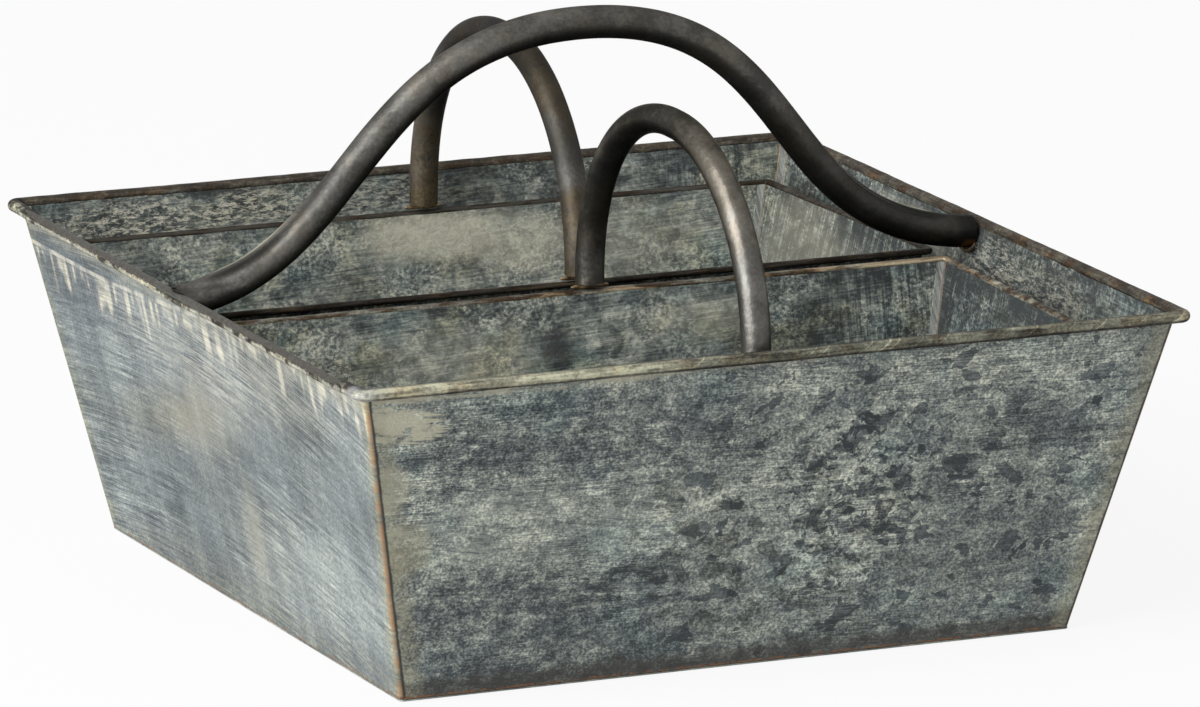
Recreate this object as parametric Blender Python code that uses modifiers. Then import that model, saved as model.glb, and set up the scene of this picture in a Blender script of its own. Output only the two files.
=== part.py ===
"""Metal basket: a square flared sheet basket with a tube handle and two lift-out boxes.

X runs along the front, Y to the back and Z up. The origin is under the middle of the bottom.
Sheets, rims, tubes and weld beads are separate bodies with a small gap where they touch.
"""
from math import atan, cos, pi, radians, sin

import bpy
from mathutils import Vector

MM = 0.001

# Gap left between pieces that touch
TOUCH_GAP = 0.3 * MM

# Basket body, measured over the outer faces of its walls
BASKET_TOP_WIDTH = 340.5 * MM
BASKET_BOTTOM_WIDTH = 283.5 * MM
BASKET_WALL_TOP = 128.0 * MM
BASKET_SHEET = 0.7 * MM
BASKET_CORNER_RADIUS = 2.0 * MM

# Corners of every tray: the end walls fold round them, and the long walls lap over the fold
FOLD_RADIUS = 1.5 * MM
FOLD_FLANGE = 4.0 * MM
CORNER_SET_IN = 1.6 * MM

# Rim of the basket: the top edge rolled round a wire
BASKET_RIM_RADIUS = 2.4 * MM
BASKET_RIM_SHEET = 0.6 * MM
BASKET_RIM_LIFT = 0.5 * MM
BASKET_RIM_CORNER = 3.0 * MM

# Lift-out boxes: the play to the basket's walls, and how far their rims lie below its rim
BOX_SHEET = 0.6 * MM
BOX_END_PLAY = 10.7 * MM
BOX_SIDE_PLAY = 8.9 * MM
BOX_MIDDLE_SPACING = 14.6 * MM
BOX_MIDDLE_RIM_DROP = 11.3 * MM
BOX_OUTER_RIM_DROP = 14.2 * MM
BOX_CORNER_RADIUS = 1.5 * MM
FRONT_BOX_SHIFT = -1.3 * MM
BACK_BOX_SHIFT = -0.4 * MM

# Rim of a box
BOX_RIM_RADIUS = 1.3 * MM
BOX_RIM_SHEET = 0.4 * MM
BOX_RIM_LIFT = 0.3 * MM
BOX_RIM_CORNER = 2.5 * MM

# Main handle: one bent tube, its heights counted from the middle of the basket's rim
MAIN_TUBE_DIAMETER = 13.0 * MM
MAIN_TUBE_WALL = 1.2 * MM
MAIN_CREST_RISE = 94.7 * MM
MAIN_CREST_SHIFT = -4.1 * MM
LEFT_FOOT_RISE = -1.6 * MM
RIGHT_FOOT_RISE = -2.8 * MM
LEFT_FOOT_SLOPE_SHARE = 0.157
RIGHT_FOOT_SLOPE_SHARE = 0.065

# Levers of the handle's curve, as shares of half the span between its feet
LEFT_FOOT_LEVER_SHARE = 0.424
LEFT_CREST_LEVER_SHARE = 0.562
RIGHT_CREST_LEVER_SHARE = 0.591
RIGHT_FOOT_LEVER_SHARE = 0.552

# Box handles: a half-ellipse hoop from long wall to long wall
BOX_TUBE_DIAMETER = 11.5 * MM
BOX_TUBE_WALL = 1.0 * MM
BOX_HOOP_RISE = 84.0 * MM
FRONT_HOOP_SHIFT = -1.1 * MM
BACK_HOOP_SHIFT = 0.2 * MM

# Weld beads: under each end of the main handle, and under each leg of a hoop
MAIN_BEAD_RADIUS = 0.9 * MM
MAIN_BEAD_ARC = radians(130)
BOX_BEAD_RADIUS = 0.9 * MM
BOX_BEAD_LENGTH = 16.0 * MM
BEAD_TIP_SHARE = 0.5

# Slot that stays open along the underside of a rolled rim
RIM_SLOT_START = radians(210)
RIM_SLOT_ARC = radians(60)

# Steps of the round forms
FOLD_STEPS = 4
CORNER_STEPS = 5
RIM_STEPS = 12
HOOP_STEPS = 28
BEAD_STEPS = 10

FLARE = (BASKET_TOP_WIDTH - BASKET_BOTTOM_WIDTH) / 2 / BASKET_WALL_TOP
LEAN = atan(FLARE)
BASKET_RIM_HEIGHT = BASKET_WALL_TOP + BASKET_RIM_LIFT

ZINC = ((0.33, 0.36, 0.35), 0.55, 0.75)
ZINC_DARK = ((0.24, 0.26, 0.25), 0.60, 0.70)
RIM_STEEL = ((0.20, 0.19, 0.17), 0.50, 0.80)
WIRE_STEEL = ((0.16, 0.15, 0.14), 0.50, 0.90)
HANDLE_STEEL = ((0.075, 0.07, 0.065), 0.35, 0.90)
BRAZE = ((0.35, 0.25, 0.13), 0.50, 0.70)


def clear_scene():
    """Remove whatever the scene held."""
    for item in list(bpy.data.objects):
        bpy.data.objects.remove(item, do_unlink=True)


def new_collection(name):
    """A collection of its own in the scene."""
    collection = bpy.data.collections.new(name)
    bpy.context.scene.collection.children.link(collection)
    return collection


def finish(part, look):
    """Give a part its own metal."""
    colour, roughness, metallic = look
    material = bpy.data.materials.new(part.name + "_finish")
    material.use_nodes = True
    shader = material.node_tree.nodes["Principled BSDF"]
    shader.inputs["Base Color"].default_value = (*colour, 1.0)
    shader.inputs["Roughness"].default_value = roughness
    shader.inputs["Metallic"].default_value = metallic
    part.data.materials.append(material)


def place(part, collection, carrier, look):
    """Link a part, hang it on its carrier and give it its finish."""
    collection.objects.link(part)
    part.parent = carrier
    finish(part, look)
    return part


def curve_object(name, points, closed):
    """A straight-segment curve through the given points."""
    curve = bpy.data.curves.new(name, "CURVE")
    curve.dimensions = "3D"
    curve.twist_mode = "Z_UP"
    spline = curve.splines.new("POLY")
    spline.points.add(len(points) - 1)
    for knot, point in zip(spline.points, points):
        knot.co = (*point, 1.0)
    spline.use_cyclic_u = closed
    return bpy.data.objects.new(name, curve)


def rounded_loop(corners, radius):
    """A closed loop through four corners, each turned with an arc."""
    loop = []
    for index, corner in enumerate(corners):
        back = (corners[index - 1] - corner).normalized()
        onward = (corners[(index + 1) % len(corners)] - corner).normalized()
        centre = corner + radius * (back + onward)
        for step in range(CORNER_STEPS + 1):
            turn = pi / 2 * step / CORNER_STEPS
            loop.append(centre - radius * (onward * cos(turn) + back * sin(turn)))
    return loop


def folded_sheet(name, lower, upper, thickness):
    """A bent sheet between a lower and an upper line of its outer face, thickened inward."""
    mesh = bpy.data.meshes.new(name)
    count = len(lower)
    faces = [(i, i + 1, count + i + 1, count + i) for i in range(count - 1)]
    mesh.from_pydata([*lower, *upper], [], faces)
    part = bpy.data.objects.new(name, mesh)
    shell = part.modifiers.new("sheet", "SOLIDIFY")
    shell.thickness = thickness
    shell.offset = -1
    shell.use_even_offset = True
    return part


def flat_sheet(name, outline, thickness):
    """A flat plate with the given outline, its underside at height 0."""
    part = curve_object(name, outline, True)
    part.data.dimensions = "2D"
    part.data.fill_mode = "BOTH"
    part.data.extrude = thickness / 2
    part.location.z = thickness / 2
    return part


def hollow_tube(name, centreline, diameter, wall):
    """A tube with open ends along a curve object, which it replaces."""
    centreline.data.bevel_depth = diameter / 2
    centreline.data.bevel_resolution = 4
    bpy.context.scene.collection.objects.link(centreline)
    graph = bpy.context.evaluated_depsgraph_get()
    mesh = bpy.data.meshes.new_from_object(centreline.evaluated_get(graph))
    bpy.data.objects.remove(centreline)
    mesh.name = name
    mesh.shade_smooth()
    part = bpy.data.objects.new(name, mesh)
    shell = part.modifiers.new("wall", "SOLIDIFY")
    shell.thickness = wall
    shell.offset = -1
    shell.use_even_offset = True
    return part


def weld_bead(name, points, radius):
    """A solid bead along the given points, thinner towards its ends."""
    part = curve_object(name, points, False)
    part.data.bevel_depth = radius
    part.data.bevel_resolution = 2
    part.data.use_fill_caps = True
    last = len(points) - 1
    for index, knot in enumerate(part.data.splines[0].points):
        knot.radius = BEAD_TIP_SHARE + (1 - BEAD_TIP_SHARE) * sin(pi * index / last)
    return part


class Tray:
    """A flared tray with its floor's underside at height 0.

    It is given by the outer faces of its walls at that height: one for both end walls, the near
    one at -Y and the far one at +Y, and by the heights of its near and far top edges.
    """

    def __init__(self, end_face, near_face, far_face, near_top, far_top, sheet):
        self.end_face = end_face
        self.near_face = near_face
        self.far_face = far_face
        self.sheet = sheet
        near_edge = near_face - FLARE * near_top
        far_edge = far_face + FLARE * far_top
        self.slope = (far_top - near_top) / (far_edge - near_edge)
        self.crown = near_top - self.slope * near_edge

    def raised(self, spot, height):
        """A spot of the floor's plane, carried out and up with the flare to a height."""
        x, y, side_x, side_y = spot
        return Vector((x + side_x * FLARE * height, y + side_y * FLARE * height, height))

    def at_foot(self, spot):
        """The spot where the walls start, just above the floor sheet."""
        return self.raised(spot, self.sheet + TOUCH_GAP)

    def at_top(self, spot):
        """The spot on the walls' top edge, which may slope from front to back."""
        x, y, side_x, side_y = spot
        height = (self.crown + self.slope * y) / (1 - self.slope * side_y * FLARE)
        return self.raised(spot, height)

    def long_face(self, side):
        """Outer face of the near or the far long wall."""
        return self.far_face if side > 0 else self.near_face

    def long_wall(self, name, side):
        """A flat long wall, lapped over the folds of the end walls."""
        face = self.long_face(side)
        edge = self.end_face - CORNER_SET_IN
        spots = [(side * -turn * edge, face, side * -turn, side) for turn in (-1, 1)]
        return self.wall(name, spots)

    def end_wall(self, name, side):
        """An end wall whose two edges fold round the corners, inside the long walls."""
        lap = (self.sheet + TOUCH_GAP) / cos(LEAN)
        spots = []
        for turn in (-side, side):
            face = self.long_face(turn) - turn * lap
            corner = [(side * (self.end_face - FOLD_FLANGE), face, side, turn)]
            for step in range(FOLD_STEPS + 1):
                angle = pi / 2 * step / FOLD_STEPS
                x = side * (self.end_face - FOLD_RADIUS + FOLD_RADIUS * sin(angle))
                y = face + turn * FOLD_RADIUS * (cos(angle) - 1)
                corner.append((x, y, side, turn))
            spots += corner if turn == -side else corner[::-1]
        return self.wall(name, spots)

    def wall(self, name, spots):
        """A wall through spots of the floor's plane, from its foot to the top edge."""
        lower = [self.at_foot(spot) for spot in spots]
        upper = [self.at_top(spot) for spot in spots]
        return folded_sheet(name, lower, upper, self.sheet)

    def corner_spots(self):
        """The four corners of the outer faces, counter-clockwise."""
        signs = ((-1, -1), (1, -1), (1, 1), (-1, 1))
        return [(sx * self.end_face, self.long_face(sy), sx, sy) for sx, sy in signs]

    def bottom(self, name, radius):
        """The floor sheet, as wide as the walls' outer faces."""
        corners = [self.raised(spot, 0) for spot in self.corner_spots()]
        return flat_sheet(name, rounded_loop(corners, radius), self.sheet)

    def rim_corner(self, spot, rim_radius, rim_lift):
        """Where the rim's centreline would turn, outside the top of the walls."""
        reach = rim_radius + TOUCH_GAP
        return self.at_top(spot) + Vector((spot[2] * reach, spot[3] * reach, rim_lift))

    def rim_line(self, rim_radius, rim_lift, corner_radius):
        """The closed centreline of the rim."""
        corners = [self.rim_corner(spot, rim_radius, rim_lift) for spot in self.corner_spots()]
        return rounded_loop(corners, corner_radius)


def rolled_rim(name, line, radius, sheet, guides):
    """Sheet rolled to an open ring section and led along a closed line."""
    inner = radius - sheet
    sweep = 2 * pi - RIM_SLOT_ARC
    turns = [RIM_SLOT_START - sweep * step / RIM_STEPS for step in range(RIM_STEPS + 1)]
    section = [Vector((radius * cos(turn), radius * sin(turn), 0)) for turn in turns]
    section += [Vector((inner * cos(turn), inner * sin(turn), 0)) for turn in turns[::-1]]
    profile = curve_object(name + "_section", section, True)
    profile.hide_render = True
    profile.display_type = "WIRE"
    guides.objects.link(profile)
    part = curve_object(name, line, True)
    part.data.bevel_mode = "OBJECT"
    part.data.bevel_object = profile
    return part


def rim_wire(name, line, rim_radius, rim_sheet):
    """The round wire inside a rolled rim."""
    part = curve_object(name, line, True)
    part.data.bevel_depth = rim_radius - rim_sheet - TOUCH_GAP
    part.data.bevel_resolution = 2
    return part


def basket_inner_face(height):
    """Distance from the middle of the basket to the inner face of a wall."""
    return BASKET_BOTTOM_WIDTH / 2 + FLARE * height - BASKET_SHEET / cos(LEAN)


def build_basket(parts, guides):
    """The outer basket with its rim."""
    half = BASKET_BOTTOM_WIDTH / 2
    tray = Tray(half, -half, half, BASKET_WALL_TOP, BASKET_WALL_TOP, BASKET_SHEET)
    line = tray.rim_line(BASKET_RIM_RADIUS, BASKET_RIM_LIFT, BASKET_RIM_CORNER)
    place(tray.long_wall("basket_front_wall", -1), parts, None, ZINC)
    place(tray.long_wall("basket_back_wall", 1), parts, None, ZINC)
    place(tray.end_wall("basket_left_end_wall", -1), parts, None, ZINC)
    place(tray.end_wall("basket_right_end_wall", 1), parts, None, ZINC)
    place(tray.bottom("basket_bottom", BASKET_CORNER_RADIUS), parts, None, ZINC_DARK)
    roll = rolled_rim("basket_rim_roll", line, BASKET_RIM_RADIUS, BASKET_RIM_SHEET, guides)
    place(roll, parts, None, RIM_STEEL)
    wire = rim_wire("basket_rim_wire", line, BASKET_RIM_RADIUS, BASKET_RIM_SHEET)
    place(wire, parts, None, WIRE_STEEL)


def main_foot(side, rise, slope_share):
    """The end of the main handle's centreline: its lower edge stops just short of the wall."""
    radius = MAIN_TUBE_DIAMETER / 2
    tilt = atan(slope_share)
    height = BASKET_RIM_HEIGHT + rise
    lower_edge = basket_inner_face(height - radius * cos(tilt)) - TOUCH_GAP
    return Vector((side * (lower_edge + radius * sin(tilt)), 0, height))


def build_main_handle(parts):
    """The bent tube from end wall to end wall, and the beads that fix its feet."""
    left = main_foot(-1, LEFT_FOOT_RISE, LEFT_FOOT_SLOPE_SHARE)
    right = main_foot(1, RIGHT_FOOT_RISE, RIGHT_FOOT_SLOPE_SHARE)
    crest = Vector((MAIN_CREST_SHIFT, 0, BASKET_RIM_HEIGHT + MAIN_CREST_RISE))
    reach = (right.x - left.x) / 2
    from_left = Vector((1, 0, LEFT_FOOT_SLOPE_SHARE)).normalized() * reach
    from_right = Vector((-1, 0, RIGHT_FOOT_SLOPE_SHARE)).normalized() * reach
    level = Vector((reach, 0, 0))
    curve = bpy.data.curves.new("main_handle_line", "CURVE")
    curve.dimensions = "3D"
    curve.resolution_u = 20
    spline = curve.splines.new("BEZIER")
    spline.bezier_points.add(2)
    knots = (
        (left, left - from_left * LEFT_FOOT_LEVER_SHARE, left + from_left * LEFT_FOOT_LEVER_SHARE),
        (crest, crest - level * LEFT_CREST_LEVER_SHARE, crest + level * RIGHT_CREST_LEVER_SHARE),
        (right, right + from_right * RIGHT_FOOT_LEVER_SHARE, right - from_right * RIGHT_FOOT_LEVER_SHARE),
    )
    for knot, (spot, before, after) in zip(spline.bezier_points, knots):
        knot.co = spot
        knot.handle_left = before
        knot.handle_right = after
    line = bpy.data.objects.new("main_handle_line", curve)
    tube = hollow_tube("main_handle_tube", line, MAIN_TUBE_DIAMETER, MAIN_TUBE_WALL)
    place(tube, parts, None, HANDLE_STEEL)
    place(main_bead("main_handle_left_weld", left, -1), parts, None, BRAZE)
    place(main_bead("main_handle_right_weld", right, 1), parts, None, BRAZE)


def main_bead(name, foot, side):
    """A bead round the underside of the tube's end, along the wall's inner face."""
    around = MAIN_TUBE_DIAMETER / 2 + TOUCH_GAP + MAIN_BEAD_RADIUS
    stand_off = (TOUCH_GAP + MAIN_BEAD_RADIUS) / cos(LEAN)
    points = []
    for step in range(BEAD_STEPS + 1):
        turn = MAIN_BEAD_ARC * (step / BEAD_STEPS - 1 / 2)
        height = foot.z - around * cos(turn)
        x = side * (basket_inner_face(height) - stand_off)
        points.append(Vector((x, around * sin(turn), height)))
    return weld_bead(name, points, MAIN_BEAD_RADIUS)


def box_tray():
    """A lift-out box in its own frame: +Y points to the middle of the basket."""
    stand = BASKET_SHEET + TOUCH_GAP
    outer_rim = BASKET_RIM_HEIGHT - BOX_OUTER_RIM_DROP
    middle_rim = BASKET_RIM_HEIGHT - BOX_MIDDLE_RIM_DROP
    outer_top = outer_rim - BOX_RIM_LIFT - stand
    middle_top = middle_rim - BOX_RIM_LIFT - stand
    reach = BOX_RIM_RADIUS + TOUCH_GAP
    outer_line = basket_inner_face(outer_rim) - BOX_SIDE_PLAY - BOX_RIM_RADIUS
    end_line = basket_inner_face(middle_rim) - BOX_END_PLAY - BOX_RIM_RADIUS
    middle_line = BOX_MIDDLE_SPACING / 2
    centre = (outer_line + middle_line) / 2
    end_face = end_line - reach - FLARE * middle_top
    near_face = centre - outer_line + reach + FLARE * outer_top
    far_face = centre - middle_line - reach - FLARE * middle_top
    tray = Tray(end_face, near_face, far_face, outer_top, middle_top, BOX_SHEET)
    return tray, centre, stand


def build_box(name, side, shift, hoop_shift, parts, guides):
    """A lift-out box at the front (side -1) or the back (side 1), turned to face the middle."""
    tray, centre, stand = box_tray()
    carrier = bpy.data.objects.new(name + "_lift", None)
    carrier.empty_display_size = tray.end_face
    carrier.location = (shift, side * centre, stand)
    carrier.rotation_euler.z = pi if side > 0 else 0
    parts.objects.link(carrier)
    line = tray.rim_line(BOX_RIM_RADIUS, BOX_RIM_LIFT, BOX_RIM_CORNER)
    place(tray.long_wall(name + "_outer_wall", -1), parts, carrier, ZINC)
    place(tray.long_wall(name + "_middle_wall", 1), parts, carrier, ZINC)
    place(tray.end_wall(name + "_left_end_wall", side), parts, carrier, ZINC)
    place(tray.end_wall(name + "_right_end_wall", -side), parts, carrier, ZINC)
    place(tray.bottom(name + "_bottom", BOX_CORNER_RADIUS), parts, carrier, ZINC_DARK)
    roll = rolled_rim(name + "_rim_roll", line, BOX_RIM_RADIUS, BOX_RIM_SHEET, guides)
    place(roll, parts, carrier, RIM_STEEL)
    wire = rim_wire(name + "_rim_wire", line, BOX_RIM_RADIUS, BOX_RIM_SHEET)
    place(wire, parts, carrier, WIRE_STEEL)
    build_hoop(name, tray, -side * hoop_shift, carrier, parts)


def build_hoop(name, tray, x, carrier, parts):
    """The hoop handle, standing on its two beads on the rim."""
    corners = [tray.rim_corner(spot, BOX_RIM_RADIUS, BOX_RIM_LIFT) for spot in tray.corner_spots()]
    outer = Vector((x, corners[0].y, corners[0].z))
    middle = Vector((x, corners[2].y, corners[2].z))
    half_span = (middle.y - outer.y) / 2
    centre = (middle.y + outer.y) / 2
    bead_height = BOX_RIM_RADIUS + TOUCH_GAP + BOX_BEAD_RADIUS
    leg_height = Vector((0, 0, bead_height + BOX_BEAD_RADIUS + TOUCH_GAP))
    points = [outer + leg_height]
    for step in range(HOOP_STEPS + 1):
        turn = pi * step / HOOP_STEPS
        height = middle.z + leg_height.z + (BOX_HOOP_RISE - leg_height.z) * sin(turn)
        points.append(Vector((x, centre - half_span * cos(turn), height)))
    tube = hollow_tube(
        name + "_handle_tube",
        curve_object(name + "_handle_line", points, False),
        BOX_TUBE_DIAMETER,
        BOX_TUBE_WALL,
    )
    place(tube, parts, carrier, HANDLE_STEEL)
    for label, foot in (("_outer_weld", outer), ("_middle_weld", middle)):
        bead = []
        for step in range(BEAD_STEPS + 1):
            along = BOX_BEAD_LENGTH * (step / BEAD_STEPS - 1 / 2)
            bead.append(foot + Vector((along, 0, bead_height)))
        place(weld_bead(name + label, bead, BOX_BEAD_RADIUS), parts, carrier, BRAZE)


clear_scene()
basket_parts = new_collection("metal_basket")
basket_guides = new_collection("metal_basket_guides")
build_basket(basket_parts, basket_guides)
build_main_handle(basket_parts)
build_box("front_box", -1, FRONT_BOX_SHIFT, FRONT_HOOP_SHIFT, basket_parts, basket_guides)
build_box("back_box", 1, BACK_BOX_SHIFT, BACK_HOOP_SHIFT, basket_parts, basket_guides)
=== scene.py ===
"""Metal basket with two lift-out boxes: how each piece looks, with the studio and the camera.

X runs along the front, Y to the back and Z up, in metres. Finishes are laid out in millimetres.
"""

from functools import cached_property
from math import atan, ceil, cos, pi, radians, sin, sqrt

import bpy
from mathutils import Matrix, Vector, noise


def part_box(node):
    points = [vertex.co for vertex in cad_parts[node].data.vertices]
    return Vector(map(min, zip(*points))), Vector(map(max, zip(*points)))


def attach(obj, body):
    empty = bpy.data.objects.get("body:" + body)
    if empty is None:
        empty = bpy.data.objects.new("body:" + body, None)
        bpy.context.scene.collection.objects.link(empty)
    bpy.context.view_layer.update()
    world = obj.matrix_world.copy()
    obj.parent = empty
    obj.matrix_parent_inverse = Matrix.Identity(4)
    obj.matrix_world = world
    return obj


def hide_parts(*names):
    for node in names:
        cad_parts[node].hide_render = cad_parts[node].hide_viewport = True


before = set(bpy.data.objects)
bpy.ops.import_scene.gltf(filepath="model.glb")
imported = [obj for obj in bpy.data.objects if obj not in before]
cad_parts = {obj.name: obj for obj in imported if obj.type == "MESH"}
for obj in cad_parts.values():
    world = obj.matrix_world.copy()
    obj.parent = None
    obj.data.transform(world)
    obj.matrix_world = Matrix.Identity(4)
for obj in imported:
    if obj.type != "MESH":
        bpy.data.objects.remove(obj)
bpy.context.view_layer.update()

MM = 0.001

# Front and back walls of the basket
# Flat galvanised sheet, flared outward and lapped over the folded edges of the end walls.
# The patina is brushed on by hand: cream and pale grey over blue-black, with rust where it is cut.
BASKET_SHEET = 0.7 * MM
OUTWARD_SHARE = 0.97
SHEET_CREASE = radians(35)
WALL_CELL = 2.2 * MM
DENT_DEPTH = 0.35 * MM
DENT_SIZE = 85 * MM
RIPPLE_DEPTH = 0.05 * MM
RIPPLE_SIZE = 14 * MM
EDGE_CALM = 12 * MM
BLISTER_DEPTH = 0.30 * MM
BLISTER_SIZE = 6.5 * MM
BLISTER_CENTRE = (42 * MM, 70 * MM)
BLISTER_REACH = (30 * MM, 42 * MM)
BLISTER_SPREAD = 0.15
BLISTER_START, BLISTER_FULL = 1.2, 0.5


def foot_and_top(node, outward):
    """Foot and top line of the flat of a CAD wall, on its outer face: two corners each."""
    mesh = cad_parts[node].data
    outward = Vector(outward)
    spots = {}
    for face in mesh.polygons:
        if face.normal.dot(outward) > OUTWARD_SHARE:
            for index in face.vertices:
                spot = mesh.vertices[index].co
                spots[tuple(round(value, 6) for value in spot)] = spot.copy()
    along = Vector((0, 0, 1)).cross(outward)
    ordered = sorted(spots.values(), key=lambda spot: spot.z)
    middle = (ordered[0].z + ordered[-1].z) / 2
    foot = sorted((s for s in ordered if s.z < middle), key=lambda spot: spot.dot(along))
    top = sorted((s for s in ordered if s.z > middle), key=lambda spot: spot.dot(along))
    return [foot[0], foot[-1]], [top[0], top[-1]]


def blend(a, b, share):
    """A smooth step from 0 at a to 1 at b."""
    share = min(max((share - a) / (b - a), 0), 1)
    return share * share * (3 - 2 * share)


def steps_between(spots, cell):
    """How many cells each stretch of a line gets."""
    return [max(1, ceil((b - a).length / cell)) for a, b in zip(spots, spots[1:])]


def new_object(name, data):
    """An object in the scene, made of some mesh, light or camera."""
    item = bpy.data.objects.new(name, data)
    bpy.context.scene.collection.objects.link(item)
    return item


def mesh_object(name, spots, faces):
    """A smooth-shaded surface."""
    mesh = bpy.data.meshes.new(name)
    mesh.from_pydata(spots, [], faces)
    mesh.shade_smooth()
    return new_object(name, mesh)


def thicken(piece, wall, sharp):
    """Give a surface the thickness of its wall inward; edges that bend more than sharp stay crisp."""
    shell = piece.modifiers.new("wall", "SOLIDIFY")
    shell.thickness = wall
    shell.offset = -1
    edges = piece.modifiers.new("edges", "EDGE_SPLIT")
    edges.split_angle = sharp
    return shell


def sheet(name, foot, top, thickness, cell, relief=None):
    """A sheet between the foot and the top line of its outer face, thickened inward.

    relief gives the depth of its dents at a spot; it fades out towards the sheet's edges.
    """
    columns = []
    for counts, a, b, c, d in zip(steps_between(top, cell), foot, foot[1:], top, top[1:]):
        columns += [(a.lerp(b, i / counts), c.lerp(d, i / counts)) for i in range(counts)]
    columns.append((foot[-1], top[-1]))
    rows = max(1, ceil((top[0] - foot[0]).length / cell))
    outward = (foot[-1] - foot[0]).cross(top[0] - foot[0]).normalized()
    spots = []
    for low, high in columns:
        for row in range(rows + 1):
            spot = low.lerp(high, row / rows)
            if relief:
                to_side = min((low - columns[0][0]).length, (low - columns[-1][0]).length)
                to_edge = min(to_side, (spot - low).length, (high - spot).length)
                spot = spot + outward * relief(spot) * blend(0, EDGE_CALM, to_edge)
            spots.append(spot)
    faces = []
    for column in range(len(columns) - 1):
        for row in range(rows):
            corner = column * (rows + 1) + row
            faces.append((corner, corner + rows + 1, corner + rows + 2, corner + 1))
    piece = mesh_object(name, spots, faces)
    shell = thicken(piece, thickness, SHEET_CREASE)
    shell.use_even_offset = True
    shell.material_offset = 1
    return piece


def flat_wall(name, node, outward, thickness, cell, relief):
    """A flat sheet in the place of a CAD wall."""
    foot, top = foot_and_top(node, outward)
    return sheet(name, foot, top, thickness, cell, relief)


def dents(seed, depth=DENT_DEPTH, size=DENT_SIZE):
    """Broad dents of handling with a slight ripple of the rolled sheet, both inward and outward."""
    shift = Vector((seed * 7.3, seed * 3.1, seed * 5.7))

    def relief(spot):
        broad = noise.noise(spot / size + shift)
        fine = noise.noise(spot / RIPPLE_SIZE + shift)
        return depth * broad + RIPPLE_DEPTH * fine
    return relief


def blistered(spot):
    """The front wall's dents, with the blistered zone of its coating right of the middle."""
    away = sqrt(((spot.x - BLISTER_CENTRE[0]) / BLISTER_REACH[0]) ** 2
                + ((spot.z - BLISTER_CENTRE[1]) / BLISTER_REACH[1]) ** 2)
    lump = max(0, noise.noise(spot / BLISTER_SIZE) + BLISTER_SPREAD)
    return dents(1)(spot) + BLISTER_DEPTH * lump * blend(BLISTER_START, BLISTER_FULL, away)


class Layer:
    """A mask, grain or colour that nodes work out at every spot. Masks are reckoned with like numbers."""

    def __init__(self, tree, socket):
        self.tree = tree
        self.socket = socket

    def math(self, operation, *values):
        return add_node(self.tree, "Math", dict(enumerate(values)), operation=operation)

    def __add__(self, other):
        return self.math("ADD", self, other)

    def __radd__(self, other):
        return self.math("ADD", other, self)

    def __sub__(self, other):
        return self.math("SUBTRACT", self, other)

    def __rsub__(self, other):
        return self.math("SUBTRACT", other, self)

    def __mul__(self, other):
        return self.math("MULTIPLY", self, other)

    def __abs__(self):
        return self.math("ABSOLUTE", self)

    def between(self, low, high):
        """A smooth step from 0 at low to 1 at high."""
        inputs = {"Value": self, "From Min": low, "From Max": high}
        return add_node(self.tree, "MapRange", inputs, interpolation_type="SMOOTHSTEP")


def feed(node, inputs):
    """Give a node its inputs: layers are linked to it, plain values are set."""
    for name, value in inputs.items():
        if isinstance(value, Layer):
            value.tree.links.new(value.socket, node.inputs[name])
        else:
            node.inputs[name].default_value = value


def add_node(tree, kind, inputs, out=0, **settings):
    """A new node with its inputs and settings; gives the layer at one of its outputs."""
    node = tree.nodes.new("ShaderNode" + kind)
    for name, value in settings.items():
        setattr(node, name, value)
    feed(node, inputs)
    return Layer(tree, node.outputs[out])


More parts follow.
